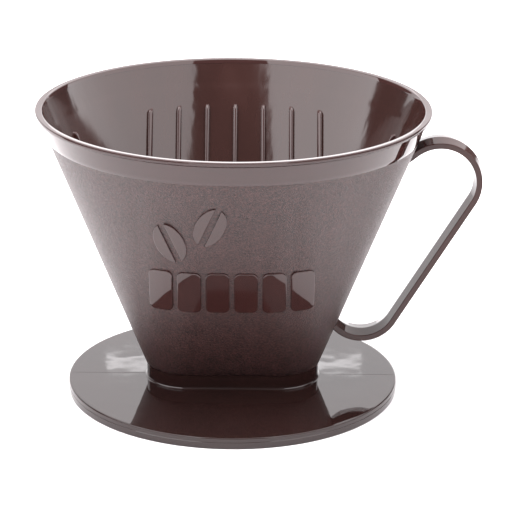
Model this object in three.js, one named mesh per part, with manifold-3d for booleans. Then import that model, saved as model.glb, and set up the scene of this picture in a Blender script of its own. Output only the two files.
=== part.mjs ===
// Pour-over dripper for 1x4 filter papers: an oval-footed cone on a round plate, with a strap handle.
// The real object is one injection moulding. Each node here is one named feature of that moulding,
// drawn as a solid of its own. Millimetres, +Z up, the handle towards +X, the emblem towards -Y.
// The origin is on the cone's axis, in the plane that the plate rests on.

import * as THREE from 'three';
import { mergeVertices } from 'three/addons/utils/BufferGeometryUtils.js';
import Module from 'manifold-3d';

// ---- driving dimensions ----
const overallHeight = 98.1;       // resting plane to the top of the rim
const rimOuterRadius = 65;        // outside of the rim lip
const rimLipHeight = 1.3;
const rimLipOverhang = 0.9;       // how far the lip stands out past the wall
const rimEdgeRadius = 0.45;       // rounding of the lip's top edges

const wallThickness = 1.8;        // measured level, all the way round
const footHalfLength = 29;        // outside of the collar along X
const footHalfWidth = 14.5;       // outside of the collar along Y
const footLedge = 0.3;            // the wall's lower edge stands out this far past the collar
const footCollarHeight = 5.1;

const plateRadius = 55.5;
const plateEdgeHeight = 3.9;
const plateWebThickness = 2.2;
const plateLipWidth = 1.8;
const plateEdgeRadius = 0.4;
const drainHoleRadius = 2.5;
const drainHolePitch = 18;

const ribWidth = 1.8;
const ribDepth = 1.3;
const ribPitch = 9.8;
const ribsPerSide = 7;            // on the back wall, and on the front wall
const endRibOffset = 17.8;         // each end wall has two ribs, this far to either side of the middle
const ribFootAngle = 50;          // a rib's foot ends where the wall turns away from it by this much
const endRibFootAngle = 35;       // the end ribs stop higher up, clear of the outermost ones beside them
const ribTopBelowRim = 14.3;
const ribClearance = 0.3;         // between a rib and the wall or floor that it stands on

const handleWidth = 11.1;
const handleEdgeThickness = 1.9;
const handleRidgeThickness = 3.5; // along the parting line, halfway across the strap
const handleBowRadius = 12.9;     // centre line of the round top bow
const handleBowStandoff = 13.15;  // bow's centre out from the wall, measured level
const handleBowBelowRim = 24.4;   // bow's centre below the top of the rim
const handleBowStart = 128;       // degrees up from +X, where the bow meets its straight root leg
const handleRootLeg = 9;          // runs on from there to well inside the wall
const handleHeelRadius = 12.2;    // centre line of the lower bend
const handleHeelStandoff = 5;     // heel's centre out from the wall, measured level
const handleHeelAbovePlate = 27.5;
const handleHeelEnd = -150;       // degrees, where the heel is well inside the wall
const handleSteps = 64;
const handleClearance = 0.3;      // between the handle's ends and the wall

const emblemRelief = 0.5;
const tabletCount = 6;
const tabletWidth = 7.6;
const tabletHeight = 16.4;
const tabletGap = 1.5;
const tabletCornerRadius = 2;
const tabletRowBelowRim = 52.2;
const ovalLength = 15.6;
const ovalWidth = 9.5;
const ovalGroove = 2;             // straight groove from end to end
const ovalTilt = 21;              // degrees from the vertical
const ovalPlaces = [
  { x: -19.4, belowRim: 32.4, lean: 1 },
  { x: -6.7, belowRim: 25.3, lean: -1 },
];

const roundSegments = 84;         // facets around the cone; 90 degrees falls between two corners

// ---- sizes that follow from them ----
const plateTop = plateEdgeHeight;
const collarTop = plateTop + footCollarHeight;
const wallTop = overallHeight - rimLipHeight;
const wallTopRadius = rimOuterRadius - rimLipOverhang;
const wallFootRadius = footHalfWidth + footLedge;
const footStraight = footHalfLength - footHalfWidth;
const ribTop = overallHeight - ribTopBelowRim;

const wasm = await Module();
wasm.setup();

// ---- solids: from a three.js geometry to a manifold and back ----
function toSolid(geometry) {
  const bare = geometry.clone();
  bare.deleteAttribute('normal');
  bare.deleteAttribute('uv');
  const merged = mergeVertices(bare, 1e-4);
  return new wasm.Manifold(new wasm.Mesh({
    numProp: 3,
    vertProperties: new Float32Array(merged.attributes.position.array),
    triVerts: new Uint32Array(merged.index.array),
  }));
}

function toGeometry(solid) {
  const mesh = solid.getMesh();
  const geometry = new THREE.BufferGeometry();
  geometry.setAttribute('position', new THREE.BufferAttribute(new Float32Array(mesh.vertProperties), 3));
  geometry.setIndex(new THREE.BufferAttribute(new Uint32Array(mesh.triVerts), 1));
  geometry.computeVertexNormals();
  return geometry;
}

// ---- the cone's level section: a stadium at the foot that closes up to a circle at the rim ----
// Share of the way from the wall's lower edge to its upper edge.
function wallShare(z) {
  return (z - collarTop) / (wallTop - collarTop);
}

function straightHalf(z) {
  return footStraight * THREE.MathUtils.clamp(1 - wallShare(z), 0, 1);
}

// Radius of the section's round ends; inset moves it in from the outside of the wall.
function endRadius(z, inset) {
  return wallFootRadius + (wallTopRadius - wallFootRadius) * wallShare(z) - inset;
}

// Radius of the cavity's round ends, in the collar and in the cone above it.
function cavityRadius(z) {
  return z <= collarTop ? footHalfWidth - wallThickness : endRadius(z, wallThickness);
}

// How far the wall's outside reaches along X.
function wallReach(z) {
  return straightHalf(z) + endRadius(z, 0);
}

// A turned solid about +Z that is pulled apart along X by straightHalf at each height.
function stadiumSolid(profile) {
  const points = profile.map(([radius, z]) => new THREE.Vector2(radius, z));
  const geometry = new THREE.LatheGeometry(points, roundSegments, Math.PI / roundSegments);
  geometry.rotateX(Math.PI / 2);
  const position = geometry.attributes.position;
  for (let i = 0; i < position.count; i += 1) {
    const x = position.getX(i);
    const side = Math.abs(x) < 1e-3 ? 0 : Math.sign(x);
    position.setX(i, x + side * straightHalf(position.getZ(i)));
  }
  return toSolid(geometry);
}

function coneOutside(grow = 0) {
  return stadiumSolid([
    [0, collarTop],
    [wallFootRadius + grow, collarTop],
    [wallTopRadius + grow, wallTop],
    [0, wallTop],
  ]);
}

function coneInside() {
  const overrun = 1;              // past both ends, so that the cut leaves no skin
  const above = wallTop + overrun;
  return stadiumSolid([
    [0, collarTop - overrun],
    [endRadius(collarTop, wallThickness), collarTop - overrun],
    [endRadius(collarTop, wallThickness), collarTop],
    [endRadius(above, wallThickness), above],
    [0, above],
  ]);
}

// ---- emblem: raised outlines on the front wall, drawn in X and Z and raised along -Y ----
function frontPrism(shape) {
  const geometry = new THREE.ExtrudeGeometry(shape, {
    depth: rimOuterRadius,
    bevelEnabled: false,
    curveSegments: 10,
  });
  geometry.rotateX(Math.PI / 2);
  return toSolid(geometry);
}

function tabletShape(centreX, centreZ) {
  const shape = new THREE.Shape();
  const halfWidth = tabletWidth / 2 - tabletCornerRadius;
  const halfHeight = tabletHeight / 2 - tabletCornerRadius;
  const corners = [[1, 1, 0], [-1, 1, 90], [-1, -1, 180], [1, -1, 270]];
  for (const [sideX, sideZ, startDegrees] of corners) {
    const start = THREE.MathUtils.degToRad(startDegrees);
    const x = centreX + sideX * halfWidth;
    const z = centreZ + sideZ * halfHeight;
    shape.absarc(x, z, tabletCornerRadius, start, start + Math.PI / 2, false);
  }
  return shape;
}

// A tilted oval with a straight groove along it from end to end.
function ovalSolid(place) {
  const centre = new THREE.Vector2(place.x, overallHeight - place.belowRim);
  const turn = THREE.MathUtils.degToRad(ovalTilt) * place.lean;
  const outline = new THREE.Shape();
  outline.absellipse(centre.x, centre.y, ovalWidth / 2, ovalLength / 2, 0, Math.PI * 2, false, turn);
  const corners = [[1, 1], [-1, 1], [-1, -1], [1, -1]].map(([sideX, sideZ]) => new THREE.Vector2(
    centre.x + sideX * ovalGroove / 2,
    centre.y + sideZ * ovalLength,
  ).rotateAround(centre, turn));
  return frontPrism(outline).subtract(frontPrism(new THREE.Shape(corners)));
}

function emblemSolid() {
  const pitch = tabletWidth + tabletGap;
  const rowCentre = overallHeight - tabletRowBelowRim;
  let raised = ovalSolid(ovalPlaces[0]).add(ovalSolid(ovalPlaces[1]));
  for (let i = 0; i < tabletCount; i += 1) {
    const x = (i - (tabletCount - 1) / 2) * pitch;
    raised = raised.add(frontPrism(tabletShape(x, rowCentre)));
  }
  return raised.intersect(coneOutside().translate([0, -emblemRelief, 0]));
}

function coneWallGeometry() {
  return toGeometry(coneOutside().add(emblemSolid()).subtract(coneInside()));
}

// ---- rim lip and foot collar ----
function rimLipGeometry() {
  // The lip's inside carries on up the slope of the wall's inside.
  const inner = wallTopRadius - wallThickness;
  const innerTop = endRadius(overallHeight, wallThickness);
  const profile = new THREE.Path();
  const edge = rimEdgeRadius;
  const top = overallHeight - edge;
  profile.moveTo(inner, wallTop);
  profile.lineTo(rimOuterRadius, wallTop);
  profile.absarc(rimOuterRadius - edge, top, edge, 0, Math.PI / 2, false);
  profile.absarc(innerTop + edge, top, edge, Math.PI / 2, Math.PI, false);
  profile.closePath();
  const points = profile.getPoints(2);
  const geometry = new THREE.LatheGeometry(points, roundSegments, Math.PI / roundSegments);
  return geometry.rotateX(Math.PI / 2);
}

function footCollarGeometry() {
  const overrun = 1;
  const cavity = footHalfWidth - wallThickness;
  const outside = stadiumSolid([[0, plateTop], [footHalfWidth, plateTop],
    [footHalfWidth, collarTop], [0, collarTop]]);
  const inside = stadiumSolid([[0, plateTop - overrun], [cavity, plateTop - overrun],
    [cavity, collarTop + overrun], [0, collarTop + overrun]]);
  return toGeometry(outside.subtract(inside));
}

// ---- base plate: a web with a turned-down lip, and a boss under the foot for the drain holes ----
function basePlateGeometry() {
  const edge = plateEdgeRadius;
  const webUnderside = plateTop - plateWebThickness;
  const profile = new THREE.Path();
  profile.moveTo(0, webUnderside);
  profile.lineTo(plateRadius - plateLipWidth, webUnderside);
  profile.lineTo(plateRadius - plateLipWidth, 0);
  profile.absarc(plateRadius - edge, edge, edge, -Math.PI / 2, 0, false);
  profile.absarc(plateRadius - edge, plateTop - edge, edge, 0, Math.PI / 2, false);
  profile.lineTo(0, plateTop);
  const disc = new THREE.LatheGeometry(profile.getPoints(2), roundSegments, Math.PI / roundSegments);
  disc.rotateX(Math.PI / 2);
  const boss = stadiumSolid([[0, 0], [footHalfWidth, 0], [footHalfWidth, plateTop], [0, plateTop]]);
  let plate = toSolid(disc).add(boss);
  for (const side of [-1, 1]) {
    const hole = new THREE.CylinderGeometry(drainHoleRadius, drainHoleRadius, plateTop * 3, 24);
    hole.rotateX(Math.PI / 2);
    hole.translate(side * drainHolePitch / 2, 0, 0);
    plate = plate.subtract(toSolid(hole));
  }
  return toGeometry(plate);
}

// ---- handle: a flat strap with a ridge along the middle of both faces ----
class StrapPath extends THREE.Curve {
  // Centre line in the XZ plane: root leg, round top bow, straight grip, heel bend. The grip is the
  // tangent that the two bends share, and both ends run on into the wall.
  constructor() {
    super();
    const bowHeight = overallHeight - handleBowBelowRim;
    const heelHeight = plateTop + handleHeelAbovePlate;
    this.bowCentre = new THREE.Vector2(wallReach(bowHeight) + handleBowStandoff, bowHeight);
    this.heelCentre = new THREE.Vector2(wallReach(heelHeight) + handleHeelStandoff, heelHeight);
    const between = this.bowCentre.clone().sub(this.heelCentre);
    const turned = Math.asin((handleBowRadius - handleHeelRadius) / between.length());
    this.lean = Math.atan2(between.x, between.y) - turned;
    this.outward = new THREE.Vector2(Math.cos(this.lean), -Math.sin(this.lean));
    this.gripTop = this.bowCentre.clone().addScaledVector(this.outward, handleBowRadius);
    this.gripEnd = this.heelCentre.clone().addScaledVector(this.outward, handleHeelRadius);
    this.gripLength = this.gripTop.distanceTo(this.gripEnd);
    this.bowStart = THREE.MathUtils.degToRad(handleBowStart);
    this.bowLength = (this.bowStart + this.lean) * handleBowRadius;
    this.heelLength = (-this.lean - THREE.MathUtils.degToRad(handleHeelEnd)) * handleHeelRadius;
    this.total = handleRootLeg + this.bowLength + this.gripLength + this.heelLength;
  }

  getPoint(share, target = new THREE.Vector3()) {
    const run = share * this.total;
    const pastLeg = run - handleRootLeg;
    const pastBow = pastLeg - this.bowLength;
    const pastGrip = pastBow - this.gripLength;
    const flat = new THREE.Vector2();
    if (pastBow <= 0) {
      const angle = this.bowStart - Math.max(pastLeg, 0) / handleBowRadius;
      flat.set(Math.cos(angle), Math.sin(angle)).multiplyScalar(handleBowRadius).add(this.bowCentre);
      const alongLeg = new THREE.Vector2(Math.sin(angle), -Math.cos(angle));
      flat.addScaledVector(alongLeg, Math.min(pastLeg, 0));
    } else if (pastGrip <= 0) {
      flat.lerpVectors(this.gripTop, this.gripEnd, pastBow / this.gripLength);
    } else {
      const angle = -this.lean - pastGrip / handleHeelRadius;
      flat.set(Math.cos(angle), Math.sin(angle)).multiplyScalar(handleHeelRadius).add(this.heelCentre);
    }
    return target.set(flat.x, 0, flat.y);
  }
}

function handleGeometry() {
  const halfWidth = handleWidth / 2;
  const halfEdge = handleEdgeThickness / 2;
  const halfRidge = handleRidgeThickness / 2;
  const section = new THREE.Shape([
    new THREE.Vector2(-halfWidth, halfEdge),
    new THREE.Vector2(-halfWidth, -halfEdge),
    new THREE.Vector2(0, -halfRidge),
    new THREE.Vector2(halfWidth, -halfEdge),
    new THREE.Vector2(halfWidth, halfEdge),
    new THREE.Vector2(0, halfRidge),
  ]);
  const strap = new THREE.ExtrudeGeometry(section, {
    extrudePath: new StrapPath(),
    steps: handleSteps,
    bevelEnabled: false,
  });
  return toGeometry(toSolid(strap).subtract(coneOutside(handleClearance)));
}

// ---- filter ribs: upright blades inside the cone that hold the paper off the wall ----
// Distance from the axis plane to the cavity's wall, at the far corner of a rib on the back or front.
function reachAcross(x, z) {
  const past = Math.max(Math.abs(x) + ribWidth / 2 - straightHalf(z), 0);
  const radius = cavityRadius(z);
  return Math.sqrt(Math.max(radius * radius - past * past, 0));
}

// The same distance for a rib on one of the end walls.
function reachAlong(z) {
  const radius = cavityRadius(z);
  const past = endRibOffset + ribWidth / 2;
  return straightHalf(z) + Math.sqrt(Math.max(radius * radius - past * past, 0));
}

// Lowest height at which the cavity's wall still faces a rib. The reach is how far out the wall
// turns away by the foot angle, at the cavity's foot and at its top; far is the rib's outer corner.
function ribFoot(far, reachAtFoot, reachAtTop) {
  const share = (far - reachAtFoot) / (reachAtTop - reachAtFoot);
  return share > 0 ? collarTop + share * (wallTop - collarTop) : plateTop + ribClearance;
}

function footAcross(x) {
  const facing = Math.sin(THREE.MathUtils.degToRad(ribFootAngle));
  return ribFoot(Math.abs(x) + ribWidth / 2,
    straightHalf(collarTop) + cavityRadius(collarTop) * facing,
    straightHalf(wallTop) + cavityRadius(wallTop) * facing);
}

function footAlong() {
  const facing = Math.sin(THREE.MathUtils.degToRad(endRibFootAngle));
  return ribFoot(endRibOffset + ribWidth / 2, cavityRadius(collarTop) * facing, cavityRadius(wallTop) * facing);
}

function ribGeometry(reach, foot) {
  const steps = 8;
  const tipSteps = 5;
  const heights = foot < collarTop ? [foot] : [];
  const first = Math.max(foot, collarTop);
  for (let i = 0; i <= steps; i += 1) {
    heights.push(first + (ribTop - first) * i / steps);
  }
  const back = heights.map((z) => new THREE.Vector2(reach(z) - ribClearance, z));
  const crest = heights.slice(0, -1).map((z) => new THREE.Vector2(reach(z) - ribClearance - ribDepth, z));
  const tip = [];
  for (let i = 1; i < tipSteps; i += 1) {
    const angle = i / tipSteps * Math.PI / 2;
    const z = ribTop - ribDepth * (1 - Math.sin(angle));
    tip.push(new THREE.Vector2(reach(z) - ribClearance - ribDepth * Math.cos(angle), z));
  }
  const geometry = new THREE.ExtrudeGeometry(new THREE.Shape([...crest, ...tip, ...back.reverse()]), {
    depth: ribWidth,
    bevelEnabled: false,
  });
  // The outline's first axis is the way out from the cone's axis and its second is +Z.
  geometry.translate(0, 0, -ribWidth / 2);
  geometry.rotateX(Math.PI / 2);
  return geometry;
}

// ---- materials ----
function plastic(color, roughness) {
  return new THREE.MeshStandardMaterial({ color, roughness, metalness: 0 });
}

const satinPlastic = () => plastic(0x4a3a37, 0.5);
const glossPlastic = () => plastic(0x3a2826, 0.2);

// ---- assembly ----
const dripper = new THREE.Group();

function addPiece(name, geometry, material, parent = dripper) {
  const mesh = new THREE.Mesh(geometry, material);
  mesh.name = name;
  parent.add(mesh);
  return mesh;
}

addPiece('base_plate', basePlateGeometry(), glossPlastic());
addPiece('foot_collar', footCollarGeometry(), glossPlastic());
addPiece('cone_wall', coneWallGeometry(), satinPlastic());
addPiece('rim_lip', rimLipGeometry(), glossPlastic());
addPiece('handle', handleGeometry(), glossPlastic());

// A rib's outline points along its own +X. A quarter turn either way sends it to the back or the front.
for (const [side, turn] of [['back', Math.PI / 2], ['front', -Math.PI / 2]]) {
  for (let i = 0; i < ribsPerSide; i += 1) {
    const x = (i - (ribsPerSide - 1) / 2) * ribPitch;
    const blade = ribGeometry((z) => reachAcross(x, z), footAcross(x));
    const rib = addPiece(`filter_rib_${side}_${i + 1}`, blade, glossPlastic());
    rib.position.x = x;
    rib.rotation.z = turn;
  }
}
for (const [end, turn] of [['right', 0], ['left', Math.PI]]) {
  for (const [side, y] of [['front', -endRibOffset], ['back', endRibOffset]]) {
    const rib = addPiece(`filter_rib_${end}_${side}`, ribGeometry(reachAlong, footAlong()), glossPlastic());
    rib.position.y = y;
    rib.rotation.z = turn;
  }
}

export default dripper;
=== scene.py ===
import math

import bmesh
import bpy
from mathutils import Matrix, Vector


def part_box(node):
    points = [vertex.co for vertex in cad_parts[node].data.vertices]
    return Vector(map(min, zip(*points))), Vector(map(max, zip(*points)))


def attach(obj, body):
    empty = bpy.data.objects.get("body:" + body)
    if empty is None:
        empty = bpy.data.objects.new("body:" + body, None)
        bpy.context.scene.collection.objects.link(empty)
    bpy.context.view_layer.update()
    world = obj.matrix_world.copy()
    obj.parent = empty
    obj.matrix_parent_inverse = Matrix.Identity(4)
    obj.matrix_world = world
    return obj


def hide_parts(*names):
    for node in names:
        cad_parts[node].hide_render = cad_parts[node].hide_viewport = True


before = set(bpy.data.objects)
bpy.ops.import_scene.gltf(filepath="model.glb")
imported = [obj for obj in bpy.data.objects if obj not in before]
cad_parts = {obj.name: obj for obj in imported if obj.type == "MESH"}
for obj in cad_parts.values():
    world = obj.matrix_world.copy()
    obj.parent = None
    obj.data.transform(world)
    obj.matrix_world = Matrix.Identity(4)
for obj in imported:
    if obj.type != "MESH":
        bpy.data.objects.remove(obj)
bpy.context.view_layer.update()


# ---- base plate ----
# The round plate that the dripper stands on: one moulding with the cone, polished, with a turned-down
# lip under its edge and a boss under the foot. Two moulded holes let the coffee through.
MM = 0.001
AROUND = 96                       # corners in a quarter of the way round a section

PLATE_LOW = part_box("base_plate")[0].z / MM
PLATE_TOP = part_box("base_plate")[1].z / MM
PLATE_RADIUS = 55.5
PLATE_WEB = 2.2
PLATE_LIP = 1.8
PLATE_EDGE = 0.45                 # rounding of the rim's two edges
PLATE_FLAT_END = 1.2              # in from the edge, where the top's flat rings end
PARTING_LINE = 0.07               # how far the mould's parting line stands proud of the plate's edge
PARTING_RISE = 0.3                # its height above the middle of the edge
PARTING_HALF_WIDTH = 0.12
SEAM_HEIGHT = 0.035               # where two parts of the mould met, on the plate's top at both ends
SEAM_HALF_WIDTH = 0.15
SEAM_ROOT = 0.05                  # how far the seam's sides go into the plate
FOOT_RADIUS = 14.5                # round ends of the collar and of the boss
FOOT_STRAIGHT = 14.5              # half of the collar's straight sides
FOOT_MARGIN = 1.5                 # to the first ring of faces round the foot
WALL = 1.8                        # thickness of the wall, measured level
HOLE_RADIUS = 2.5
HOLE_PITCH = 18.0
HOLE_CORNERS = 48


def oval(radius, straight, z):
    """Points once round a level section: a circle pulled apart along X, spaced evenly."""
    quarter = straight + radius * math.pi / 2
    corners = []
    for step in range(AROUND + 1):
        run = quarter * step / AROUND
        turn = max(run - straight, 0) / radius
        corners.append((min(run, straight) + radius * math.sin(turn), radius * math.cos(turn)))
    points = []
    for side_x, side_y, backwards in ((1, 1, False), (1, -1, True), (-1, -1, False), (-1, 1, True)):
        ordered = corners[:0:-1] if backwards else corners[:-1]
        points += [(side_x * x, side_y * y, z) for x, y in ordered]
    return points


def arc(centre, radius, first, last, steps):
    """Points on an arc in a profile of (distance from the axis, height)."""
    angles = [math.radians(first + (last - first) * i / steps) for i in range(steps + 1)]
    return [(centre[0] + radius * math.cos(a), centre[1] + radius * math.sin(a)) for a in angles]


def new_ring(shape, points):
    return [shape.verts.new(Vector(point) * MM) for point in points]


def join_rings(shape, ring, following, closed=True):
    """Faces between two rings of corners, or two rows where they aren't closed."""
    count = len(ring)
    faces = []
    for i in range(count if closed else count - 1):
        j = (i + 1) % count
        faces.append(shape.faces.new((ring[i], ring[j], following[j], following[i])))
    return faces


def finish_piece(name, shape, materials, nodes, sharp=None):
    """Turns a mesh into a finished piece that rides on the moulding and stands for its CAD nodes."""
    bmesh.ops.recalc_face_normals(shape, faces=shape.faces)
    mesh = bpy.data.meshes.new(name)
    shape.to_mesh(mesh)
    shape.free()
    mesh.shade_smooth()
    if sharp:
        mesh.set_sharp_from_angle(angle=math.radians(sharp))
    for material in materials:
        mesh.materials.append(material)
    piece = bpy.data.objects.new(name, mesh)
    bpy.context.scene.collection.objects.link(piece)
    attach(piece, "root")
    if nodes:
        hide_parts(*nodes)
    return piece


def linear(code):
    """Linear colour from an sRGB hex code."""
    shares = [int(code[i:i + 2], 16) / 255 for i in (1, 3, 5)]
    return (*(s / 12.92 if s <= 0.04045 else ((s + 0.055) / 1.055) ** 2.4 for s in shares), 1.0)


def add_node(tree, kind, settings=None, links=None):
    """Adds a node, with its settings or socket values and the sockets that feed it."""
    node = tree.nodes.new(kind)
    for name, value in (settings or {}).items():
        if isinstance(name, str) and hasattr(node, name):
            setattr(node, name, value)
        else:
            node.inputs[name].default_value = value
    for name, source in (links or {}).items():
        tree.links.new(source, node.inputs[name])
    return node


NOISE_SPAN = {"From Min": 0.3, "From Max": 0.7}     # where nearly all of a noise pattern's values lie


def polished_polypropylene(name, dark, light, shine=0.5):
    """Polypropylene from a polished mould: a dark clear-looking brown under a hard gloss. The gloss
    wavers a little where the plastic shrank, and fine handling haze makes it uneven."""
    material = bpy.data.materials.new(name)
    material.use_nodes = True
    tree = material.node_tree
    shader = tree.nodes["Principled BSDF"]
    place = add_node(tree, "ShaderNodeTexCoord").outputs["Object"]

    # Flow of the melt: soft streaks some 18 mm long, a shade lighter and darker than the brown.
    flow = add_node(tree, "ShaderNodeTexNoise", {"Scale": 1 / (18 * MM), "Detail": 3.0, "Roughness": 0.5},
                    {"Vector": place})
    tint = add_node(tree, "ShaderNodeMix", {"data_type": "RGBA", 6: linear(dark), 7: linear(light)},
                    {0: flow.outputs["Fac"]})
    tree.links.new(tint.outputs[2], shader.inputs["Base Color"])

    # Handling haze: the gloss is hazier in patches of about 7 mm.
    haze = add_node(tree, "ShaderNodeTexNoise", {"Scale": 1 / (7 * MM), "Detail": 5.0, "Roughness": 0.65},
                    {"Vector": place})
    gloss = add_node(tree, "ShaderNodeMapRange", {**NOISE_SPAN, "To Min": 0.02, "To Max": 0.055},
                     {"Value": haze.outputs["Fac"]})
    tree.links.new(gloss.outputs["Result"], shader.inputs["Roughness"])

    # Shrinkage: waves about 11 mm long and some 0.015 mm deep.
    wave = add_node(tree, "ShaderNodeTexNoise", {"Scale": 1 / (11 * MM), "Detail": 1.0}, {"Vector": place})
    relief = add_node(tree, "ShaderNodeBump", {"Strength": 1.0, "Distance": 0.035 * MM},
                      {"Height": wave.outputs["Fac"]})
    tree.links.new(relief.outputs["Normal"], shader.inputs["Normal"])
    shader.inputs["Specular IOR Level"].default_value = shine
    shader.inputs["IOR"].default_value = 1.5
    return material


# Painted shade: the plate and the collar take a darker copy of the polished plastic, which stands in for the
# shade that falls round the foot under the cone.
shade_darkened_polished = polished_polypropylene("polished brown polypropylene, painted darker for shade", "#1d1211", "#261614")
polished = polished_polypropylene("polished brown polypropylene", "#2a1817", "#341e1c")

plate_edge_profile = [(PLATE_RADIUS - PLATE_FLAT_END, PLATE_TOP)]
plate_edge_profile += arc((PLATE_RADIUS - PLATE_EDGE, PLATE_TOP - PLATE_EDGE), PLATE_EDGE, 90, 0, 6)
parting = (PLATE_LOW + PLATE_TOP) / 2 + PARTING_RISE
plate_edge_profile += [(PLATE_RADIUS, parting + PARTING_HALF_WIDTH), (PLATE_RADIUS + PARTING_LINE, parting),
                       (PLATE_RADIUS, parting - PARTING_HALF_WIDTH)]
plate_edge_profile += arc((PLATE_RADIUS - PLATE_EDGE, PLATE_LOW + PLATE_EDGE), PLATE_EDGE, 0, -90, 6)
plate_edge_profile += [(PLATE_RADIUS - PLATE_LIP, PLATE_LOW),
                       (PLATE_RADIUS - PLATE_LIP, PLATE_TOP - PLATE_WEB)]

plate = bmesh.new()
cavity = FOOT_RADIUS - WALL
flat_start = FOOT_RADIUS + FOOT_MARGIN
flat_width = PLATE_RADIUS - PLATE_FLAT_END - flat_start
rings = [new_ring(plate, oval(cavity, FOOT_STRAIGHT, PLATE_TOP)),
         new_ring(plate, oval(flat_start, FOOT_STRAIGHT, PLATE_TOP))]
for share in (0.1, 0.35, 0.65, 0.9):
    rings.append(new_ring(plate, oval(flat_start + flat_width * share, FOOT_STRAIGHT * (1 - share),
                                      PLATE_TOP)))
rings += [new_ring(plate, oval(radius, 0, z)) for radius, z in plate_edge_profile]
rings += [new_ring(plate, oval(FOOT_RADIUS, FOOT_STRAIGHT, PLATE_TOP - PLATE_WEB)),
          new_ring(plate, oval(FOOT_RADIUS, FOOT_STRAIGHT, PLATE_LOW)),
          new_ring(plate, oval(cavity, FOOT_STRAIGHT, PLATE_LOW))]
for ring, following in zip(rings, rings[1:]):
    join_rings(plate, ring, following)
floors = {PLATE_TOP: [rings[0]], PLATE_LOW: [rings[-1]]}
for side in (-1, 1):
    mouths = []
    for z, loops in floors.items():
        corners = []
        for step in range(HOLE_CORNERS):
            turn = math.tau * step / HOLE_CORNERS
            corners.append((side * HOLE_PITCH / 2 + HOLE_RADIUS * math.cos(turn),
                            HOLE_RADIUS * math.sin(turn), z))
        mouths.append(new_ring(plate, corners))
        loops.append(mouths[-1])
    join_rings(plate, mouths[0], mouths[1])
for loops in floors.values():
    edges = []
    for loop in loops:
        for here, there in zip(loop, loop[1:] + loop[:1]):
            edges.append(plate.edges.get((here, there)) or plate.edges.new((here, there)))
    bmesh.ops.triangle_fill(plate, edges=edges, use_beauty=True, use_dissolve=False)
for side in (-1, 1):
    seam_ends = []
    for x in (PLATE_RADIUS - 0.7, FOOT_RADIUS + FOOT_STRAIGHT - 0.5):
        seam_ends.append(new_ring(plate, [(side * x, -SEAM_HALF_WIDTH, PLATE_TOP - SEAM_ROOT),
                                          (side * x, 0, PLATE_TOP + SEAM_HEIGHT),
                                          (side * x, SEAM_HALF_WIDTH, PLATE_TOP - SEAM_ROOT)]))
    join_rings(plate, *seam_ends)
    for end in seam_ends:
        plate.faces.new(end)
# The plate takes the darker copy of the plastic, with its painted shade.
finish_piece("base_plate_visual", plate, [shade_darkened_polished], ["base_plate"], sharp=30)


# ---- foot collar ----
# The polished oval neck that joins the plate to the cone. It is moulded with both: a small flare
# meets the plate, and the satin wall above stands out past it by a thin ledge.
COLLAR_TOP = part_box("foot_collar")[1].z / MM
COLLAR_FLARE = 0.8
COLLAR_ROOT = 0.1                 # how far the collar goes into the plate
COLLAR_ROWS = 0.2                 # close rows that keep the collar's edges crisp

collar = bmesh.new()
flare_centre = (FOOT_RADIUS + COLLAR_FLARE, PLATE_TOP + COLLAR_FLARE)
collar_profile = [(FOOT_RADIUS + COLLAR_FLARE, PLATE_TOP - COLLAR_ROOT)]
collar_profile += arc(flare_centre, COLLAR_FLARE, 270, 180, 7)
collar_profile += [(FOOT_RADIUS, PLATE_TOP + COLLAR_FLARE + COLLAR_ROWS),
                   (FOOT_RADIUS, COLLAR_TOP - COLLAR_ROWS), (FOOT_RADIUS, COLLAR_TOP),
                   (cavity, COLLAR_TOP), (cavity, PLATE_TOP - COLLAR_ROOT)]
collar_rings = [new_ring(collar, oval(radius, FOOT_STRAIGHT, z)) for radius, z in collar_profile]
for ring, following in zip(collar_rings, collar_rings[1:] + collar_rings[:1]):
    join_rings(collar, ring, following)
# The collar takes the darker copy of the plastic, with its painted shade.
finish_piece("foot_collar_visual", collar, [shade_darkened_polished], ["foot_collar"],
             sharp=50)


# ---- cone wall ----
# The funnel: oval at the foot and round at the mouth. Its outside is spark-eroded satin up to a
# polished band below the rim, and its inside is polished. Behind each rib the outside sinks a little.
WALL_FOOT = COLLAR_TOP
WALL_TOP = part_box("cone_wall")[1].z / MM
FOOT_LEDGE = 0.3
MOUTH_RADIUS = 64.1               # outside of the wall, just below the rim lip
BAND_FOOT = 89.4                  # lower edge of the polished band
BAND_RELIEF = 0.05
LIP_GROOVE = 0.22                 # depth of the undercut just below the rim lip
GROOVE_HEIGHT = 0.5
GROOVE_SLOPE = 0.2
WALL_CHAMFER = 0.15               # on the wall's lower edge and on the band's
INNER_STEP = 90.0                 # the wall is thinner above this line, inside
INNER_STEP_DEPTH = 0.1
INNER_STEP_SLOPE = 0.8
RIB_PITCH = 9.8
RIBS_IN_ROW = 7                   # on the back wall, and on the front
SINK_DEPTH = 0.16                 # the sink lines behind the ribs
SINK_WIDTH = 2.3
SINK_LOW = (14, 26)               # a sink line starts at the first height, is full at the second
SINK_HIGH = (80, 86)              # and fades out between these two
ROW = 1.15                        # height of a row of faces


def wall_share(z):
    return (z - WALL_FOOT) / (WALL_TOP - WALL_FOOT)


def wall_straight(z):
    return FOOT_STRAIGHT * min(max(1 - wall_share(z), 0), 1)


def wall_radius(z):
    """Radius of the wall's round ends, outside."""
    foot = FOOT_RADIUS + FOOT_LEDGE
    return foot + (MOUTH_RADIUS - foot) * wall_share(z)


def sunk(point):
    """Draws the outside in along the line behind each upright rib."""
    x, y, z = point
    nearest = round(x / RIB_PITCH)
    if abs(nearest) > RIBS_IN_ROW // 2:
        return point
    below = min(max((z - SINK_LOW[0]) / (SINK_LOW[1] - SINK_LOW[0]), 0), 1)
    above = min(max((SINK_HIGH[1] - z) / (SINK_HIGH[1] - SINK_HIGH[0]), 0), 1)
    ends = below * above
    depth = SINK_DEPTH * ends * math.exp(-((x - nearest * RIB_PITCH) / SINK_WIDTH) ** 2)
    return (x, y - math.copysign(depth, y), z)


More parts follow.
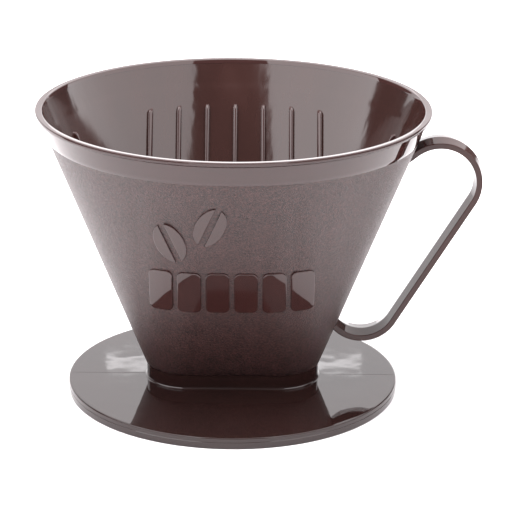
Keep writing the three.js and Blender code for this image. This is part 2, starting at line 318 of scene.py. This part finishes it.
def spark_eroded_polypropylene():
    """The same plastic from a spark-eroded mould: a fine even grain that blurs the gloss to satin.
    The real grain is near 0.1 mm and is drawn 0.45 to 0.6 mm coarse, so that it shows."""
    material = bpy.data.materials.new("spark-eroded brown polypropylene")
    material.use_nodes = True
    tree = material.node_tree
    shader = tree.nodes["Principled BSDF"]
    place = add_node(tree, "ShaderNodeTexCoord").outputs["Object"]

    # Flow of the melt, in streaks some 16 mm long, under dots where the grain catches more or less light.
    flow = add_node(tree, "ShaderNodeTexNoise", {"Scale": 1 / (16 * MM), "Detail": 3.0}, {"Vector": place})
    dots = add_node(tree, "ShaderNodeTexNoise", {"Scale": 1 / (0.55 * MM), "Detail": 1.0}, {"Vector": place})
    tint = add_node(tree, "ShaderNodeMix", {"data_type": "RGBA", 6: linear("#2b1a18"), 7: linear("#352120")},
                    {0: flow.outputs["Fac"]})
    contrast = add_node(tree, "ShaderNodeMapRange", {**NOISE_SPAN, "To Min": 0.1, "To Max": 1.9},
                        {"Value": dots.outputs["Fac"]})
    speckle = add_node(tree, "ShaderNodeMix", {"data_type": "RGBA", "blend_type": "MULTIPLY", 0: 1.0},
                       {6: tint.outputs[2], 7: contrast.outputs["Result"]})
    tree.links.new(speckle.outputs[2], shader.inputs["Base Color"])

    # The grain itself: rounded rises with the sparks' pits between them, under 0.1 mm deep in all.
    grain = add_node(tree, "ShaderNodeTexNoise", {"Scale": 1 / (0.6 * MM), "Detail": 2.0, "Roughness": 0.6},
                     {"Vector": place})
    pits = add_node(tree, "ShaderNodeTexVoronoi", {"Scale": 1 / (0.45 * MM)}, {"Vector": place})
    haze = add_node(tree, "ShaderNodeMapRange", {**NOISE_SPAN, "To Min": 0.34, "To Max": 0.52},
                    {"Value": grain.outputs["Fac"]})
    tree.links.new(haze.outputs["Result"], shader.inputs["Roughness"])
    coarse = add_node(tree, "ShaderNodeBump", {"Strength": 1.0, "Distance": 0.03 * MM},
                      {"Height": grain.outputs["Fac"]})
    fine = add_node(tree, "ShaderNodeBump", {"Strength": 1.0, "Distance": 0.12 * MM},
                    {"Height": pits.outputs["Distance"], "Normal": coarse.outputs["Normal"]})
    tree.links.new(fine.outputs["Normal"], shader.inputs["Normal"])
    shader.inputs["IOR"].default_value = 1.5
    return material


satin = spark_eroded_polypropylene()


def stoned_polypropylene():
    """The same plastic from a core that was polished with stones up and down: a softer gloss, with
    faint upright lines that pull the reflections into streaks."""
    material = bpy.data.materials.new("stoned brown polypropylene")
    material.use_nodes = True
    tree = material.node_tree
    shader = tree.nodes["Principled BSDF"]
    place = add_node(tree, "ShaderNodeTexCoord").outputs["Object"]

    # Every pattern is drawn out along Z, the way of the strokes, to some seventeen times its width.
    upright = add_node(tree, "ShaderNodeMapping", {"Scale": (1, 1, 0.06)}, {"Vector": place}).outputs[0]
    flow = add_node(tree, "ShaderNodeTexNoise", {"Scale": 1 / (12 * MM), "Detail": 3.0}, {"Vector": upright})
    tint = add_node(tree, "ShaderNodeMix", {"data_type": "RGBA", 6: linear("#241412"), 7: linear("#311c19")},
                    {0: flow.outputs["Fac"]})
    tree.links.new(tint.outputs[2], shader.inputs["Base Color"])
    haze = add_node(tree, "ShaderNodeMapRange", {**NOISE_SPAN, "To Min": 0.08, "To Max": 0.17},
                    {"Value": flow.outputs["Fac"]})
    tree.links.new(haze.outputs["Result"], shader.inputs["Roughness"])

    # Shallow flutes 7 mm wide and stone marks 1.2 mm wide, coarser than the real scratches so they show.
    waves = add_node(tree, "ShaderNodeTexNoise", {"Scale": 1 / (7 * MM), "Detail": 2.0}, {"Vector": upright})
    lines = add_node(tree, "ShaderNodeTexNoise", {"Scale": 1 / (1.2 * MM), "Detail": 2.0},
                     {"Vector": upright})
    broad = add_node(tree, "ShaderNodeBump", {"Strength": 1.0, "Distance": 0.12 * MM},
                     {"Height": waves.outputs["Fac"]})
    thin = add_node(tree, "ShaderNodeBump", {"Strength": 1.0, "Distance": 0.006 * MM},
                    {"Height": lines.outputs["Fac"], "Normal": broad.outputs["Normal"]})
    tree.links.new(thin.outputs["Normal"], shader.inputs["Normal"])
    shader.inputs["IOR"].default_value = 1.5
    return material


stoned = stoned_polypropylene()


def heights(first, last, edge, chamfer):
    """Even rows between two heights, with a close pair of rows where the surface steps."""
    rows = [first]
    for low, high in ((first, edge - chamfer), (edge, last)):
        steps = math.ceil((high - low) / ROW)
        rows += [low + (high - low) * i / steps for i in range(0 if low == edge else 1, steps + 1)]
    return rows


outside = []
rows = heights(WALL_FOOT + WALL_CHAMFER, WALL_TOP - GROOVE_HEIGHT, BAND_FOOT, WALL_CHAMFER)
for z in rows + [WALL_TOP - GROOVE_HEIGHT + GROOVE_SLOPE, WALL_TOP]:
    relief = BAND_RELIEF if z >= BAND_FOOT else 0
    relief -= LIP_GROOVE * min(max((z - WALL_TOP + GROOVE_HEIGHT) / GROOVE_SLOPE, 0), 1)
    outside.append([sunk(point) for point in oval(wall_radius(z) + relief, wall_straight(z), z)])
inside = []
for z in reversed(heights(WALL_FOOT, WALL_TOP, INNER_STEP, INNER_STEP_SLOPE)):
    step = INNER_STEP_DEPTH if z < INNER_STEP else 0
    inside.append(oval(wall_radius(z) - WALL - step + INNER_STEP_DEPTH, wall_straight(z), z))
ledge = [oval(wall_radius(WALL_FOOT) - WALL_CHAMFER, FOOT_STRAIGHT, WALL_FOOT)]

cone = bmesh.new()
cone_rings = [new_ring(cone, points) for points in ledge + outside + inside]
for order, (ring, following) in enumerate(zip(cone_rings, cone_rings[1:] + cone_rings[:1])):
    faces = join_rings(cone, ring, following)
    finish = 0 if following[0].co.z < (BAND_FOOT - 0.05) * MM else 1
    if order >= len(ledge) + len(outside):
        finish = 2
    for face in faces:
        face.material_index = finish
finish_piece("cone_wall_visual", cone, [satin, polished, stoned], ["cone_wall"],
             sharp=35)


# ---- rim lip ----
# The polished lip round the mouth, its top falling gently inwards. It overhangs the wall's outside by
# 0.9 mm, and its inside carries on up the slope of the wall's inside.
RIM_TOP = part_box("rim_lip")[1].z / MM
RIM_RADIUS = 65.0
RIM_EDGE = 0.3                    # rounding of the top's two edges
RIM_FOOT_EDGE = 0.15
RIM_ROOT = 0.05                   # how far the lip goes into the wall
RIM_FALL = (1.5, 6)               # degrees that the top falls inwards, at its outer and inner edge
RIM_STEPS = 8                     # rows across the top
RIM_INNER = MOUTH_RADIUS - WALL

rim = bmesh.new()
rim_profile = [(RIM_INNER, WALL_TOP - RIM_ROOT), (RIM_RADIUS - RIM_FOOT_EDGE, WALL_TOP - RIM_ROOT),
               (RIM_RADIUS, WALL_TOP - RIM_ROOT + RIM_FOOT_EDGE)]
rim_profile += arc((RIM_RADIUS - RIM_EDGE, RIM_TOP - RIM_EDGE), RIM_EDGE, 0, 90 + RIM_FALL[0], 6)
inner_top = wall_radius(RIM_TOP - 0.7) - WALL
row_width = (RIM_RADIUS - inner_top - 2 * RIM_EDGE) / RIM_STEPS
for step in range(RIM_STEPS):
    fall = math.radians(RIM_FALL[0] + (RIM_FALL[1] - RIM_FALL[0]) * step / (RIM_STEPS - 1))
    radius, z = rim_profile[-1]
    rim_profile.append((radius - row_width, z - row_width * math.tan(fall)))
radius, z = rim_profile[-1]
tilt = math.radians(90 + RIM_FALL[1])
inner_edge = (radius - RIM_EDGE * math.cos(tilt), z - RIM_EDGE * math.sin(tilt))
rim_profile += arc(inner_edge, RIM_EDGE, 90 + RIM_FALL[1], 155, 6)[1:]
rim_rings = [new_ring(rim, oval(radius, 0, z)) for radius, z in rim_profile]
for ring, following in zip(rim_rings, rim_rings[1:] + rim_rings[:1]):
    join_rings(rim, ring, following)
finish_piece("rim_lip_visual", rim, [polished], ["rim_lip"], sharp=50)


# ---- emblem ----
# Shallow raised pads on the front wall, with polished faces and rounded edges: two grooved ovals
# above a row of six plain tablets. They are cut into the same mould as the wall.
RELIEF = 0.45
PAD_EDGE = 0.14                   # rounding of a pad's edge
PAD_ROOT = 0.3                    # how far a pad goes into the wall
TABLETS = 6
TABLET_HALF_WIDTH = 3.8
TABLET_HALF_HEIGHT = 8.2
TABLET_PITCH = 9.1
TABLET_CORNER = 2.0
TABLET_ROW = RIM_TOP - 52.2
OVAL_HALF_WIDTH = 4.75
OVAL_HALF_LENGTH = 7.8
OVAL_GROOVE = 2.0
OVAL_TILT = 21
OVAL_PLACES = ((-19.4, RIM_TOP - 32.4, 1), (-6.7, RIM_TOP - 25.3, -1))
ACROSS = 16                       # faces across a pad
ALONG = 40                        # faces along it


def on_front(x, z, height):
    """The point that is so far out from the front wall, straight out from its face."""
    past = max(abs(x) - wall_straight(z), 0)
    radius = wall_radius(z)
    slope = (MOUTH_RADIUS - FOOT_RADIUS - FOOT_LEDGE) / (WALL_TOP - WALL_FOOT)
    y = math.sqrt(radius * radius - past * past)
    out = Vector((math.copysign(past / radius, x), -y / radius, -slope)).normalized()
    return Vector((x, -y, z)) + out * height


def edge_height(distance):
    """Height of a pad's face that far in from its outline."""
    short = PAD_EDGE - min(max(distance, 0), PAD_EDGE)
    return RELIEF - PAD_EDGE + math.sqrt(PAD_EDGE * PAD_EDGE - short * short)


def spread(count):
    """Shares from -1 to 1 that crowd towards both ends, where a pad's edge is rounded."""
    return [math.sin(math.pi / 2 * math.sin(math.pi / 2 * (2 * i / count - 1))) for i in range(count + 1)]


def add_pad(shape, sides, inward, place):
    """A pad from rows across it: sides gives each row's two ends, inward the distance to the outline."""
    face, root = [], []
    for along in spread(ALONG):
        left, right, height = sides(along)
        rows = [left + (right - left) * (share + 1) / 2 for share in spread(ACROSS)]
        spots = [place(across, height) for across in rows]
        face.append([on_front(*spot, edge_height(inward(across, height)))
                     for spot, across in zip(spots, rows)])
        root.append([on_front(*spot, -PAD_ROOT) for spot in spots])
    face = [new_ring(shape, row) for row in face]
    root = [new_ring(shape, row) for row in root]
    for rows in (face, root):
        for row, following in zip(rows, rows[1:]):
            join_rings(shape, row, following, closed=False)
    for end in (0, -1):
        join_rings(shape, face[end], root[end], closed=False)
        join_rings(shape, [row[end] for row in face], [row[end] for row in root], closed=False)


def tablet_sides(along):
    height = along * TABLET_HALF_HEIGHT
    corner = max(abs(height) - (TABLET_HALF_HEIGHT - TABLET_CORNER), 0)
    half = TABLET_HALF_WIDTH - TABLET_CORNER + math.sqrt(max(TABLET_CORNER ** 2 - corner ** 2, 0))
    return -half, half, height


def tablet_inward(across, height):
    past_x = abs(across) - (TABLET_HALF_WIDTH - TABLET_CORNER)
    past_z = abs(height) - (TABLET_HALF_HEIGHT - TABLET_CORNER)
    beyond = math.hypot(max(past_x, 0), max(past_z, 0))
    return TABLET_CORNER - beyond - min(max(past_x, past_z), 0)


def half_oval(side):
    """The sides and inward functions of the half of an oval to one side of its groove."""
    inner = OVAL_GROOVE / 2
    tip = OVAL_HALF_LENGTH * math.sqrt(1 - (inner / OVAL_HALF_WIDTH) ** 2)

    def sides(along):
        height = along * tip
        outer = max(OVAL_HALF_WIDTH * math.sqrt(1 - (height / OVAL_HALF_LENGTH) ** 2), inner + 0.02)
        return min(side * inner, side * outer), max(side * inner, side * outer), height

    def inward(across, height):
        left, right, _ = sides(height / tip)
        return min(across - left, right - across, (tip - abs(height)) * 0.6)
    return sides, inward


emblem = bmesh.new()
for tablet in range(TABLETS):
    middle_x = (tablet - (TABLETS - 1) / 2) * TABLET_PITCH
    add_pad(emblem, tablet_sides, tablet_inward,
            lambda across, height, middle_x=middle_x: (middle_x + across, TABLET_ROW + height))
for centre_x, centre_z, lean in OVAL_PLACES:
    cos, sin = math.cos(math.radians(OVAL_TILT) * lean), math.sin(math.radians(OVAL_TILT) * lean)
    for side in (-1, 1):
        add_pad(emblem, *half_oval(side),
                lambda across, height: (centre_x + across * cos - height * sin,
                                        centre_z + across * sin + height * cos))
bmesh.ops.remove_doubles(emblem, verts=emblem.verts, dist=0.001 * MM)
finish_piece("emblem_pads", emblem, [polished], [], sharp=60)


# ---- handle ----
# A flat strap moulded with the cone, with a ridge along both faces where the mould halves meet.
# A short straight leg and a round bow at the top, and a bend at the heel, run straight into the wall.
BOW_RADIUS = 12.9
BOW_STANDOFF = 13.15
BOW_HEIGHT = RIM_TOP - 24.4
BOW_START = math.radians(128)     # up from +X, where the bow meets the straight leg into the wall
ROOT_LEG = 9.0                    # length of that leg, most of it inside the wall
HEEL_RADIUS = 12.2
HEEL_STANDOFF = 5.0
HEEL_HEIGHT = PLATE_TOP + 27.5
HEEL_END = math.radians(150)      # down from +X, where the heel is well inside the wall
STRAP_WIDTH = 11.1
STRAP_EDGE = 1.9                  # thickness at the strap's two edges
STRAP_RIDGE = 3.5                 # and along the ridge
STRAP_ROUNDING = 0.22
STRAP_STEPS = 220
STRAP_ROOT = 0.6                  # how far the strap's ends go into the wall

bow_centre = Vector((wall_straight(BOW_HEIGHT) + wall_radius(BOW_HEIGHT) + BOW_STANDOFF, BOW_HEIGHT))
heel_centre = Vector((wall_straight(HEEL_HEIGHT) + wall_radius(HEEL_HEIGHT) + HEEL_STANDOFF, HEEL_HEIGHT))
between = bow_centre - heel_centre
lean = math.atan2(between.x, between.y) - math.asin((BOW_RADIUS - HEEL_RADIUS) / between.length)
outward = Vector((math.cos(lean), -math.sin(lean)))
grip_top = bow_centre + outward * BOW_RADIUS
grip_end = heel_centre + outward * HEEL_RADIUS
grip_length = (grip_end - grip_top).length
bow_end = ROOT_LEG + (BOW_START + lean) * BOW_RADIUS
strap_length = bow_end + grip_length + (HEEL_END - lean) * HEEL_RADIUS


def strap_at(run):
    """Centre line and outward direction of the strap, so far along it from the top root."""
    if run <= bow_end:
        turn = BOW_START - max(run - ROOT_LEG, 0) / BOW_RADIUS
        out = Vector((math.cos(turn), math.sin(turn)))
        return bow_centre + out * BOW_RADIUS + Vector((out.y, -out.x)) * min(run - ROOT_LEG, 0), out
    if run <= bow_end + grip_length:
        return grip_top.lerp(grip_end, (run - bow_end) / grip_length), outward
    turn = -lean - (run - bow_end - grip_length) / HEEL_RADIUS
    out = Vector((math.cos(turn), math.sin(turn)))
    return heel_centre + out * HEEL_RADIUS, out


def rounded_section():
    """The strap's six-sided section with its corners rounded, as (across, out)."""
    half, edge, ridge = STRAP_WIDTH / 2, STRAP_EDGE / 2, STRAP_RIDGE / 2
    corners = [Vector(corner) for corner in ((-half, edge), (0, ridge), (half, edge),
                                             (half, -edge), (0, -ridge), (-half, -edge))]
    points = []
    for i, corner in enumerate(corners):
        before = (corners[i - 1] - corner).normalized()
        after = (corners[(i + 1) % 6] - corner).normalized()
        near = STRAP_ROUNDING * (2.5 if corner.x == 0 else 1)
        points += [corner + before * near * 1.5, corner + before * near]
        for share in (0.25, 0.5, 0.75):
            points.append(corner + before * near * (1 - share) ** 2 + after * near * share ** 2)
        points += [corner + after * near, corner + after * near * 1.5]
    return points


def depth_in_wall(x, y, z):
    return wall_straight(z) + math.sqrt(wall_radius(z) ** 2 - y * y) - x


def rail_point(spot, run):
    centre, out = strap_at(run)
    return Vector((centre.x + out.x * spot.y, spot.x, centre.y + out.y * spot.y))


def root_run(spot, inside_run, outside_run):
    """Where one edge line of the strap passes through the wall's outside."""
    for _ in range(30):           # halves the stretch each time, down to nothing
        middle_run = (inside_run + outside_run) / 2
        if depth_in_wall(*rail_point(spot, middle_run)) > 0:
            inside_run = middle_run
        else:
            outside_run = middle_run
    return (inside_run + outside_run) / 2


rails = []
for spot in rounded_section():
    first = root_run(spot, 0, bow_end / 2)
    last = root_run(spot, strap_length, strap_length - HEEL_RADIUS)
    rail = []
    for step in range(STRAP_STEPS + 1):
        share = step / STRAP_STEPS
        rail.append(rail_point(spot, first - STRAP_ROOT + (last - first + 2 * STRAP_ROOT) * share))
    rails.append(rail)

# Fingers have dulled the strap's gloss a little.
handled = polished_polypropylene("handled brown polypropylene", "#2c1a18", "#37201d", shine=0.3)
strap = bmesh.new()
strap_rings = [new_ring(strap, points) for points in zip(*rails)]
for ring, following in zip(strap_rings, strap_rings[1:]):
    join_rings(strap, ring, following)
for ring in (strap_rings[0], strap_rings[-1]):
    strap.faces.new(ring)
finish_piece("handle_strap", strap, [handled], ["handle"], sharp=60)


# ---- filter ribs ----
# Upright blades inside the cone, with rounded tops, that hold the paper off the wall. Seven stand on
# the back wall, seven on the front and two on each end, and all are moulded with the wall.
RIB_WIDTH = 1.5
RIB_DEPTH = 1.35
RIB_CREST = 0.55                  # how much of the depth is the rounded crest
RIB_FLARE = 0.05                  # draft: each side widens so much towards the wall
RIB_END = 1.5                     # height of the rounded top end
RIB_ROOT = 0.5                    # how far a rib goes into the wall
RIB_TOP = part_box("filter_rib_back_4")[1].z / MM
RIB_FOOT = PLATE_TOP - 0.1        # just into the floor
OUTER_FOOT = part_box("filter_rib_back_1")[0].z / MM
END_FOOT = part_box("filter_rib_left_back")[0].z / MM
END_OFFSET = 17.8
RIB_ROWS = 60


def rib_section():
    """Half-round crest on straight flanks: (across, out towards the axis)."""
    flank = RIB_WIDTH / 2 + RIB_FLARE
    crest = [(RIB_WIDTH / 2 * math.cos(a), RIB_DEPTH - RIB_CREST + RIB_CREST * math.sin(a))
             for a in [math.pi * i / 8 for i in range(9)]]
    return [(flank, -RIB_ROOT), (flank, 0)] + crest + [(-flank, 0), (-flank, -RIB_ROOT)]


def blank_rib():
    """A straight rib with its height as a share of the whole, its root on y = 0 and its crest at -Y."""
    shape = bmesh.new()
    end = RIB_END / (RIB_TOP - RIB_FOOT)
    rows = [(step / RIB_ROWS * (1 - end), 1.0) for step in range(RIB_ROWS + 1)]
    for step in range(1, 8):
        turn = step / 8 * math.pi / 2
        rows.append((1 - end * (1 - math.sin(turn)), math.cos(turn)))
    rings = []
    for share, size in rows:
        narrow = 0.45 + 0.55 * size     # the end's tip is nearly half as wide as the rib
        rings.append([shape.verts.new((across * narrow * MM, -(out if out <= 0 else out * size) * MM,
                                       share)) for across, out in rib_section()])
    for ring, following in zip(rings, rings[1:]):
        join_rings(shape, ring, following)
    shape.faces.new(rings[0])
    shape.faces.new(rings[-1])
    bmesh.ops.recalc_face_normals(shape, faces=shape.faces)
    return shape


def rib_tree():
    """Sets blank ribs side by side and stands each one on the wall's inside, then turns the row."""
    tree = bpy.data.node_groups.new("ribs on the wall", "GeometryNodeTree")
    face = tree.interface
    face.new_socket("Blank", in_out="INPUT", socket_type="NodeSocketGeometry")
    face.new_socket("Count", in_out="INPUT", socket_type="NodeSocketInt")
    for name in ("Pitch", "Foot", "Outer Foot", "Outer From", "On End", "Turn"):
        face.new_socket(name, in_out="INPUT", socket_type="NodeSocketFloat")
    face.new_socket("Material", in_out="INPUT", socket_type="NodeSocketMaterial")
    face.new_socket("Ribs", in_out="OUTPUT", socket_type="NodeSocketGeometry")
    given = tree.nodes.new("NodeGroupInput").outputs

    def maths(operation, first, second=0.0):
        values = {"operation": operation}
        links = {}
        for socket, value in ((0, first), (1, second)):
            (values if isinstance(value, (int, float)) else links)[socket] = value
        return add_node(tree, "ShaderNodeMath", values, links).outputs[0]

    span = maths("MULTIPLY", given["Pitch"], maths("SUBTRACT", given["Count"], 1))
    start = add_node(tree, "ShaderNodeCombineXYZ", links={"X": maths("MULTIPLY", span, -0.5)})
    step = add_node(tree, "ShaderNodeCombineXYZ", links={"X": given["Pitch"]})
    line = add_node(tree, "GeometryNodeMeshLine", {"mode": "OFFSET"},
                    {"Count": given["Count"], "Start Location": start.outputs[0],
                     "Offset": step.outputs[0]})
    placed = add_node(tree, "GeometryNodeInstanceOnPoints",
                      links={"Points": line.outputs[0], "Instance": given["Blank"]})
    ribs = add_node(tree, "GeometryNodeRealizeInstances", links={"Geometry": placed.outputs[0]})

    spot = add_node(tree, "ShaderNodeSeparateXYZ",
                    links={"Vector": add_node(tree, "GeometryNodeInputPosition").outputs[0]}).outputs
    side = maths("ABSOLUTE", spot["X"])
    foot = add_node(tree, "GeometryNodeSwitch", {"input_type": "FLOAT"},
                    {"Switch": maths("GREATER_THAN", side, given["Outer From"]),
                     "False": given["Foot"], "True": given["Outer Foot"]}).outputs[0]
    height = maths("ADD", foot, maths("MULTIPLY", spot["Z"], maths("SUBTRACT", RIB_TOP * MM, foot)))
    wall_range = {"From Min": WALL_FOOT * MM, "From Max": WALL_TOP * MM}
    straight = add_node(tree, "ShaderNodeMapRange",
                        {**wall_range, "To Min": FOOT_STRAIGHT * MM, "To Max": 0.0},
                        {"Value": height}).outputs[0]
    radius = add_node(tree, "ShaderNodeMapRange",
                      {**wall_range, "To Min": (wall_radius(WALL_FOOT) - WALL) * MM,
                       "To Max": (wall_radius(WALL_TOP) - WALL) * MM}, {"Value": height}).outputs[0]
    pull = maths("MULTIPLY", straight, maths("SUBTRACT", 1.0, given["On End"]))
    push = maths("MULTIPLY", straight, given["On End"])
    past = maths("MAXIMUM", maths("SUBTRACT", side, pull), 0.0)
    squared = maths("SUBTRACT", maths("MULTIPLY", radius, radius), maths("MULTIPLY", past, past))
    reach = maths("ADD", push, maths("SQRT", squared))
    stood = add_node(tree, "ShaderNodeCombineXYZ",
                     links={"X": spot["X"], "Y": maths("ADD", spot["Y"], reach), "Z": height})
    on_wall = add_node(tree, "GeometryNodeSetPosition",
                       links={"Geometry": ribs.outputs[0], "Position": stood.outputs[0]})
    angle = add_node(tree, "ShaderNodeCombineXYZ", links={"Z": given["Turn"]})
    turned = add_node(tree, "GeometryNodeTransform",
                      links={"Geometry": on_wall.outputs[0], "Rotation": angle.outputs[0]})
    coloured = add_node(tree, "GeometryNodeSetMaterial",
                        links={"Geometry": turned.outputs[0], "Material": given["Material"]})
    add_node(tree, "NodeGroupOutput", links={"Ribs": coloured.outputs[0]})
    return tree


ribs_on_wall = rib_tree()
# For each row: count, pitch, how far out its shorter ribs start, 1 on an end wall, turn, those ribs' foot.
OUTER_FROM = (RIBS_IN_ROW / 2 - 1) * RIB_PITCH
rib_rows = {
    "back_ribs": (RIBS_IN_ROW, RIB_PITCH, OUTER_FROM, 0.0, 0.0, OUTER_FOOT, "filter_rib_back_{}"),
    "front_ribs": (RIBS_IN_ROW, RIB_PITCH, OUTER_FROM, 0.0, math.pi, OUTER_FOOT, "filter_rib_front_{}"),
    "right_end_ribs": (2, 2 * END_OFFSET, 0.0, 1.0, -math.pi / 2, END_FOOT, "filter_rib_right_{}"),
    "left_end_ribs": (2, 2 * END_OFFSET, 0.0, 1.0, math.pi / 2, END_FOOT, "filter_rib_left_{}"),
}
for name, (count, pitch, outer_from, on_end, turn, outer_foot, nodes) in rib_rows.items():
    blank = blank_rib()
    mesh = bpy.data.meshes.new(name)
    blank.to_mesh(mesh)
    blank.free()
    row = bpy.data.objects.new(name, mesh)
    bpy.context.scene.collection.objects.link(row)
    maker = row.modifiers.new("ribs", "NODES")
    maker.node_group = ribs_on_wall
    inputs = {item.name: item.identifier for item in ribs_on_wall.interface.items_tree
              if item.in_out == "INPUT"}
    for label, value in (("Count", count), ("Pitch", pitch * MM), ("Foot", RIB_FOOT * MM),
                         ("Outer Foot", outer_foot * MM), ("Outer From", outer_from * MM),
                         ("On End", on_end), ("Turn", turn), ("Material", polished)):
        maker[inputs[label]] = value
    graph = bpy.context.evaluated_depsgraph_get()
    made = bpy.data.meshes.new_from_object(row.evaluated_get(graph))
    row.modifiers.remove(maker)
    made.shade_smooth()
    made.set_sharp_from_angle(angle=math.radians(45))
    row.data = made
    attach(row, "root")
    labels = range(1, count + 1) if count == RIBS_IN_ROW else ("front", "back")
    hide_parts(*(nodes.format(label) for label in labels))


# ---- floor, light and camera ----
# A white table in a white room. Soft boxes stand to both sides, behind and above, and the dark panels
# between them are what the gloss shows as its dark stretches: the unlit room and the table's far parts.
def white_table():
    """Matt white laminate, so bright under the lamps that it melts into the background."""
    material = bpy.data.materials.new("matt white laminate")
    material.use_nodes = True
    shader = material.node_tree.nodes["Principled BSDF"]
    shader.inputs["Base Color"].default_value = (0.88, 0.86, 0.87, 1)
    shader.inputs["Roughness"].default_value = 0.8
    shader.inputs["Specular IOR Level"].default_value = 0.1
    return material


def sheet(name, corners, material):
    mesh = bpy.data.meshes.new(name)
    mesh.from_pydata(corners, [], [(0, 1, 2, 3)])
    mesh.materials.append(material)
    panel = bpy.data.objects.new(name, mesh)
    bpy.context.scene.collection.objects.link(panel)
    return panel


TABLE_HALF = 1.1
sheet("table", [(-TABLE_HALF, -TABLE_HALF, 0), (TABLE_HALF, -TABLE_HALF, 0), (TABLE_HALF, TABLE_HALF, 0),
                (-TABLE_HALF, TABLE_HALF, 0)], white_table())

CENTRE = Vector((0, 0, 0.06))     # what the lamps stand round and face
SOFT_BOX_TINT = (1.0, 0.975, 0.985)


def towards(azimuth, elevation, distance):
    """A place seen from the dripper: azimuth 0 is the camera's side and 90 the handle's side."""
    a, e = math.radians(azimuth), math.radians(elevation)
    return CENTRE + distance * Vector((math.sin(a) * math.cos(e), -math.cos(a) * math.cos(e), math.sin(e)))


def hang_lamp(name, width, height, radiance, place, aim):
    """A flat lamp of even radiance that the camera doesn't see."""
    lamp = bpy.data.lights.new(name, "AREA")
    lamp.shape = "RECTANGLE"
    lamp.size = width
    lamp.size_y = height
    lamp.energy = radiance * math.pi * width * height
    box = bpy.data.objects.new(name, lamp)
    box.location = place
    box.rotation_euler = aim.to_track_quat("-Z", "Y").to_euler()
    box.visible_camera = False
    bpy.context.scene.collection.objects.link(box)
    return box


def soft_box(name, first, last, radiance, distance=1.4, low=0.3, high=1.9):
    """An upright soft box that spans two azimuths round the dripper."""
    place = towards((first + last) / 2, 0, distance)
    width = 2 * distance * math.tan(math.radians((last - first) / 2))
    box = hang_lamp(name, width, high - low, radiance, (place.x, place.y, (low + high) / 2), CENTRE - place)
    box.data.color = SOFT_BOX_TINT


def dark_card(name, first, last, radiance, distance=1.3, low=0.0, high=2.0):
    """An upright card that stands for an unlit part of the room, and that the camera doesn't see."""
    material = bpy.data.materials.new(name)
    material.use_nodes = True
    tree = material.node_tree
    tree.nodes.remove(tree.nodes["Principled BSDF"])
    glow = add_node(tree, "ShaderNodeEmission", {"Color": (radiance, radiance, radiance, 1), "Strength": 1.0})
    tree.links.new(glow.outputs[0], tree.nodes["Material Output"].inputs["Surface"])
    left, right = (towards(azimuth, 0, distance / math.cos(math.radians((last - first) / 2)))
                   for azimuth in (first, last))
    card = sheet(name, [(left.x, left.y, low), (right.x, right.y, low),
                        (right.x, right.y, high), (left.x, left.y, high)], material)
    card.visible_camera = False
    card.visible_shadow = False


soft_box("soft box right", 28, 75, 1.95)
soft_box("soft box far right", 75, 125, 1.95)
soft_box("soft box left", -60, -22, 2.9)
soft_box("soft box far left", -103, -60, 2.9)
soft_box("strip behind", 175.4, 185.7, 2.22, low=0.55, high=0.562)
soft_box("low soft box behind", 160, 200, 1.85, low=0.2, high=0.42)
dark_card("dark behind the camera", -22, 28, 0.2)
dark_card("dark left", -138, -103, 0.15, low=0.22)
dark_card("dark right", 125, 150, 0.15)
for first, last in ((-103, -60), (-60, -22), (28, 75), (75, 125)):
    dark_card("dark card on the table", first, last, 0.1, distance=0.3, high=0.135)

hang_lamp("soft box above", 1.2, 1.2, 4.0, (0, 0, 1.6), Vector((0, 0, -1)))

# The table light whitens the table and leaves no highlight of its own on the plastic.
high_left = Vector((-0.12, -0.2, 0.95))
table_light = hang_lamp("table light", 0.6, 0.6, 9.5, high_left, Vector((-0.2, 0.1, 0)) - high_left)
table_light.visible_glossy = False

room = bpy.data.worlds.new("white room")
room.use_nodes = True
room.node_tree.nodes["Background"].inputs["Color"].default_value = (1, 0.97, 0.985, 1)
room.node_tree.nodes["Background"].inputs["Strength"].default_value = 1.95
bpy.context.scene.world = room
bpy.context.scene.view_settings.view_transform = "Standard"

LENS_DOWN = math.radians(19.04)   # below level
LENS_ROLL = math.radians(-0.459)
LENS_LENGTH = 164.0
LENS_PLACE = Vector((7.66, -738.19, 301.01))
lens = bpy.data.cameras.new("camera")
lens.sensor_width = 36
lens.lens = LENS_LENGTH
lens.clip_start = 0.01
lens.clip_end = 50
camera = bpy.data.objects.new("camera", lens)
forward = Vector((0, math.cos(LENS_DOWN), -math.sin(LENS_DOWN)))
level = Vector((1, 0, 0))
down = Vector((0, -math.sin(LENS_DOWN), -math.cos(LENS_DOWN)))
right = level * math.cos(LENS_ROLL) + down * math.sin(LENS_ROLL)
below = down * math.cos(LENS_ROLL) - level * math.sin(LENS_ROLL)
place = Matrix((right, -below, -forward)).transposed().to_4x4()
place.translation = LENS_PLACE * MM
camera.matrix_world = place
bpy.context.scene.collection.objects.link(camera)
bpy.context.scene.camera = camera
